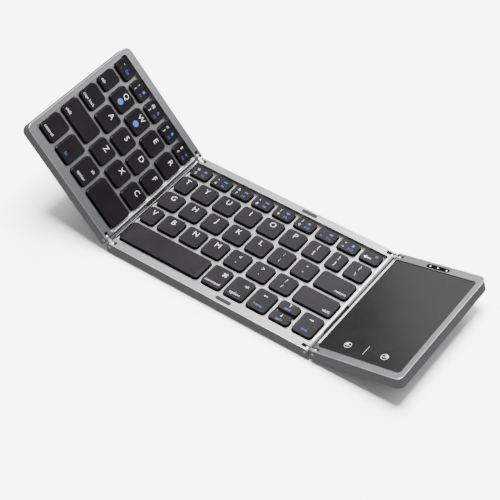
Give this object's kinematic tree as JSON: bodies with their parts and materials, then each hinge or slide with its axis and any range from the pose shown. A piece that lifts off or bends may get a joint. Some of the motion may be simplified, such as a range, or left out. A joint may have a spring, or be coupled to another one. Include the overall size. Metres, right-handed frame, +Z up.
{
  "type": "folding keyboard",
  "caption": "Three-panel folding keyboard with raised-rim key decks, double-pivot hinge links, a touchpad wing and a charging port.",
  "frame": {"origin": "on the table, under the middle of the centre panel, level with the undersides of its rubber feet", "axes": "+X to the user's right along the key rows, +Y to the rear away from the user, +Z up out of the centre panel's keys; the wings are stored part folded, as they were found"},
  "size_m": [0.2772, 0.098, 0.0742],
  "materials": {
    "rim_paint": "fine satin silver frame",
    "shell_metal": "satin gunmetal paint with a polished lower bevel",
    "back_leather": "pebbled dark grey leather-look inlay",
    "foot_rubber": "matt black rubber",
    "bumper_rubber": "matt black rubber",
    "plate_metal": "plain rolled sheet",
    "dome_silicone": "translucent pale silicone sheet",
    "key_plastic": "fine matt charcoal with white and blue legends",
    "pad_surface": "smooth dark satin sheet",
    "circuit_board": "green solder mask",
    "battery_pouch": "dull foil pouch",
    "window_plastic": "smoked glossy window with three small lights",
    "port_steel": "bright nickel-plated sheet",
    "port_plastic": "smooth dark grey plastic",
    "knob_plastic": "matt black plastic",
    "switch_case": "moulded grey plastic",
    "link_steel": "polished stamped steel",
    "pin_steel": "turned steel with flat heads",
    "flex_film": "dark flexible circuit film"
  },
  "bodies": {
    "centre": {"centre_frame": "rim_paint", "centre_shell": "shell_metal", "centre_leather": "back_leather", "centre_feet": "foot_rubber", "centre_bumpers": "bumper_rubber", "centre_base_plate": "plate_metal", "centre_domes": "dome_silicone", "left_flex": "flex_film", "right_flex": "flex_film"},
    "left_wing": {"left_frame": "rim_paint", "left_shell": "shell_metal", "left_leather": "back_leather", "left_feet": "foot_rubber", "left_base_plate": "plate_metal", "left_domes": "dome_silicone"},
    "right_wing": {"right_frame": "rim_paint", "right_shell": "shell_metal", "right_leather": "back_leather", "right_feet": "foot_rubber", "touchpad": "pad_surface", "touchpad_board": "circuit_board", "battery": "battery_pouch", "main_board": "circuit_board", "indicator_window": "window_plastic", "usb_socket": "port_steel", "port_insert": "port_plastic", "switch_body": "switch_case"},
    "left_link_pair": {"left_links": "link_steel", "left_pins": "pin_steel"},
    "right_link_pair": {"right_links": "link_steel", "right_pins": "pin_steel"},
    "switch_knob": {"power_switch": "knob_plastic"},
    "body_left_number_keys": {"left_number_keys": "key_plastic"},
    "body_left_top_letters": {"left_top_letters": "key_plastic"},
    "body_left_home_letters": {"left_home_letters": "key_plastic"},
    "body_left_bottom_letters": {"left_bottom_letters": "key_plastic"},
    "body_tab_key": {"tab_key": "key_plastic"},
    "body_caps_lock_key": {"caps_lock_key": "key_plastic"},
    "body_left_shift_key": {"left_shift_key": "key_plastic"},
    "body_control_key": {"control_key": "key_plastic"},
    "body_fn_key": {"fn_key": "key_plastic"},
    "body_left_option_key": {"left_option_key": "key_plastic"},
    "body_left_space_bar": {"left_space_bar": "key_plastic"},
    "body_right_number_keys": {"right_number_keys": "key_plastic"},
    "body_backspace_key": {"backspace_key": "key_plastic"},
    "body_right_top_letters": {"right_top_letters": "key_plastic"},
    "body_backslash_key": {"backslash_key": "key_plastic"},
    "body_right_home_letters": {"right_home_letters": "key_plastic"},
    "body_return_key": {"return_key": "key_plastic"},
    "body_right_bottom_letters": {"right_bottom_letters": "key_plastic"},
    "body_right_shift_key": {"right_shift_key": "key_plastic"},
    "body_long_space_bar": {"long_space_bar": "key_plastic"},
    "body_command_key": {"command_key": "key_plastic"},
    "body_right_option_key": {"right_option_key": "key_plastic"},
    "body_arrow_left_key": {"arrow_left_key": "key_plastic"},
    "body_arrow_up_key": {"arrow_up_key": "key_plastic"},
    "body_arrow_down_key": {"arrow_down_key": "key_plastic"},
    "body_arrow_right_key": {"arrow_right_key": "key_plastic"}
  },
  "joints": [
    {"name": "left_link_hinge", "type": "hinge", "parent": "centre", "child": "left_link_pair", "pos_m": [-0.0733, 0, 0.0057], "axis": [0, 1, 0], "range_deg": [-39.6, 50.4], "deforming": ["left_flex"]},
    {"name": "left_wing_hinge", "type": "hinge", "parent": "left_link_pair", "child": "left_wing", "pos_m": [-0.07777, 0, 0.0094], "axis": [0, 1, 0], "range_deg": [-8.3, 81.7], "deforming": ["left_flex"]},
    {"name": "right_link_hinge", "type": "hinge", "parent": "centre", "child": "right_link_pair", "pos_m": [0.0733, 0, 0.0057], "axis": [0, -1, 0], "range_deg": [-14, 76], "deforming": ["right_flex"]},
    {"name": "right_wing_hinge", "type": "hinge", "parent": "right_link_pair", "child": "right_wing", "pos_m": [0.07893, 0, 0.0071], "axis": [0, -1, 0], "range_deg": [0, 90], "deforming": ["right_flex"]},
    {"name": "power_switch_slide", "type": "slide", "parent": "right_wing", "child": "switch_knob", "axis": [0.9703, 0, 0.2419], "range_m": [0, 0.0044]},
    {"name": "left_number_keys_press", "type": "slide", "parent": "left_wing", "child": "body_left_number_keys", "axis": [-0.742, 0, -0.6704], "range_m": [0, 0.0013], "stiffness_N_per_m": 300, "springref_m": -0.001, "deforming": ["left_domes"]},
    {"name": "left_top_letters_press", "type": "slide", "parent": "left_wing", "child": "body_left_top_letters", "axis": [-0.742, 0, -0.6704], "range_m": [0, 0.0013], "stiffness_N_per_m": 300, "springref_m": -0.001, "deforming": ["left_domes"]},
    {"name": "left_home_letters_press", "type": "slide", "parent": "left_wing", "child": "body_left_home_letters", "axis": [-0.742, 0, -0.6704], "range_m": [0, 0.0013], "stiffness_N_per_m": 300, "springref_m": -0.001, "deforming": ["left_domes"]},
    {"name": "left_bottom_letters_press", "type": "slide", "parent": "left_wing", "child": "body_left_bottom_letters", "axis": [-0.742, 0, -0.6704], "range_m": [0, 0.0013], "stiffness_N_per_m": 300, "springref_m": -0.001, "deforming": ["left_domes"]},
    {"name": "tab_key_press", "type": "slide", "parent": "left_wing", "child": "body_tab_key", "axis": [-0.742, 0, -0.6704], "range_m": [0, 0.0013], "stiffness_N_per_m": 300, "springref_m": -0.001, "deforming": ["left_domes"]},
    {"name": "caps_lock_key_press", "type": "slide", "parent": "left_wing", "child": "body_caps_lock_key", "axis": [-0.742, 0, -0.6704], "range_m": [0, 0.0013], "stiffness_N_per_m": 300, "springref_m": -0.001, "deforming": ["left_domes"]},
    {"name": "left_shift_key_press", "type": "slide", "parent": "left_wing", "child": "body_left_shift_key", "axis": [-0.742, 0, -0.6704], "range_m": [0, 0.0013], "stiffness_N_per_m": 300, "springref_m": -0.001, "deforming": ["left_domes"]},
    {"name": "control_key_press", "type": "slide", "parent": "left_wing", "child": "body_control_key", "axis": [-0.742, 0, -0.6704], "range_m": [0, 0.0013], "stiffness_N_per_m": 300, "springref_m": -0.001, "deforming": ["left_domes"]},
    {"name": "fn_key_press", "type": "slide", "parent": "left_wing", "child": "body_fn_key", "axis": [-0.742, 0, -0.6704], "range_m": [0, 0.0013], "stiffness_N_per_m": 300, "springref_m": -0.001, "deforming": ["left_domes"]},
    {"name": "left_option_key_press", "type": "slide", "parent": "left_wing", "child": "body_left_option_key", "axis": [-0.742, 0, -0.6704], "range_m": [0, 0.0013], "stiffness_N_per_m": 300, "springref_m": -0.001, "deforming": ["left_domes"]},
    {"name": "left_space_bar_press", "type": "slide", "parent": "left_wing", "child": "body_left_space_bar", "axis": [-0.742, 0, -0.6704], "range_m": [0, 0.0013], "stiffness_N_per_m": 300, "springref_m": -0.001, "deforming": ["left_domes"]},
    {"name": "right_number_keys_press", "type": "slide", "parent": "centre", "child": "body_right_number_keys", "axis": [0, 0, -1], "range_m": [0, 0.0013], "stiffness_N_per_m": 300, "springref_m": -0.001, "deforming": ["centre_domes"]},
    {"name": "backspace_key_press", "type": "slide", "parent": "centre", "child": "body_backspace_key", "axis": [0, 0, -1], "range_m": [0, 0.0013], "stiffness_N_per_m": 300, "springref_m": -0.001, "deforming": ["centre_domes"]},
    {"name": "right_top_letters_press", "type": "slide", "parent": "centre", "child": "body_right_top_letters", "axis": [0, 0, -1], "range_m": [0, 0.0013], "stiffness_N_per_m": 300, "springref_m": -0.001, "deforming": ["centre_domes"]},
    {"name": "backslash_key_press", "type": "slide", "parent": "centre", "child": "body_backslash_key", "axis": [0, 0, -1], "range_m": [0, 0.0013], "stiffness_N_per_m": 300, "springref_m": -0.001, "deforming": ["centre_domes"]},
    {"name": "right_home_letters_press", "type": "slide", "parent": "centre", "child": "body_right_home_letters", "axis": [0, 0, -1], "range_m": [0, 0.0013], "stiffness_N_per_m": 300, "springref_m": -0.001, "deforming": ["centre_domes"]},
    {"name": "return_key_press", "type": "slide", "parent": "centre", "child": "body_return_key", "axis": [0, 0, -1], "range_m": [0, 0.0013], "stiffness_N_per_m": 300, "springref_m": -0.001, "deforming": ["centre_domes"]},
    {"name": "right_bottom_letters_press", "type": "slide", "parent": "centre", "child": "body_right_bottom_letters", "axis": [0, 0, -1], "range_m": [0, 0.0013], "stiffness_N_per_m": 300, "springref_m": -0.001, "deforming": ["centre_domes"]},
    {"name": "right_shift_key_press", "type": "slide", "parent": "centre", "child": "body_right_shift_key", "axis": [0, 0, -1], "range_m": [0, 0.0013], "stiffness_N_per_m": 300, "springref_m": -0.001, "deforming": ["centre_domes"]},
    {"name": "long_space_bar_press", "type": "slide", "parent": "centre", "child": "body_long_space_bar", "axis": [0, 0, -1], "range_m": [0, 0.0013], "stiffness_N_per_m": 300, "springref_m": -0.001, "deforming": ["centre_domes"]},
    {"name": "command_key_press", "type": "slide", "parent": "centre", "child": "body_command_key", "axis": [0, 0, -1], "range_m": [0, 0.0013], "stiffness_N_per_m": 300, "springref_m": -0.001, "deforming": ["centre_domes"]},
    {"name": "right_option_key_press", "type": "slide", "parent": "centre", "child": "body_right_option_key", "axis": [0, 0, -1], "range_m": [0, 0.0013], "stiffness_N_per_m": 300, "springref_m": -0.001, "deforming": ["centre_domes"]},
    {"name": "arrow_left_key_press", "type": "slide", "parent": "centre", "child": "body_arrow_left_key", "axis": [0, 0, -1], "range_m": [0, 0.0013], "stiffness_N_per_m": 300, "springref_m": -0.001, "deforming": ["centre_domes"]},
    {"name": "arrow_up_key_press", "type": "slide", "parent": "centre", "child": "body_arrow_up_key", "axis": [0, 0, -1], "range_m": [0, 0.0013], "stiffness_N_per_m": 300, "springref_m": -0.001, "deforming": ["centre_domes"]},
    {"name": "arrow_down_key_press", "type": "slide", "parent": "centre", "child": "body_arrow_down_key", "axis": [0, 0, -1], "range_m": [0, 0.0013], "stiffness_N_per_m": 300, "springref_m": -0.001, "deforming": ["centre_domes"]},
    {"name": "arrow_right_key_press", "type": "slide", "parent": "centre", "child": "body_arrow_right_key", "axis": [0, 0, -1], "range_m": [0, 0.0013], "stiffness_N_per_m": 300, "springref_m": -0.001, "deforming": ["centre_domes"]}
  ]
}
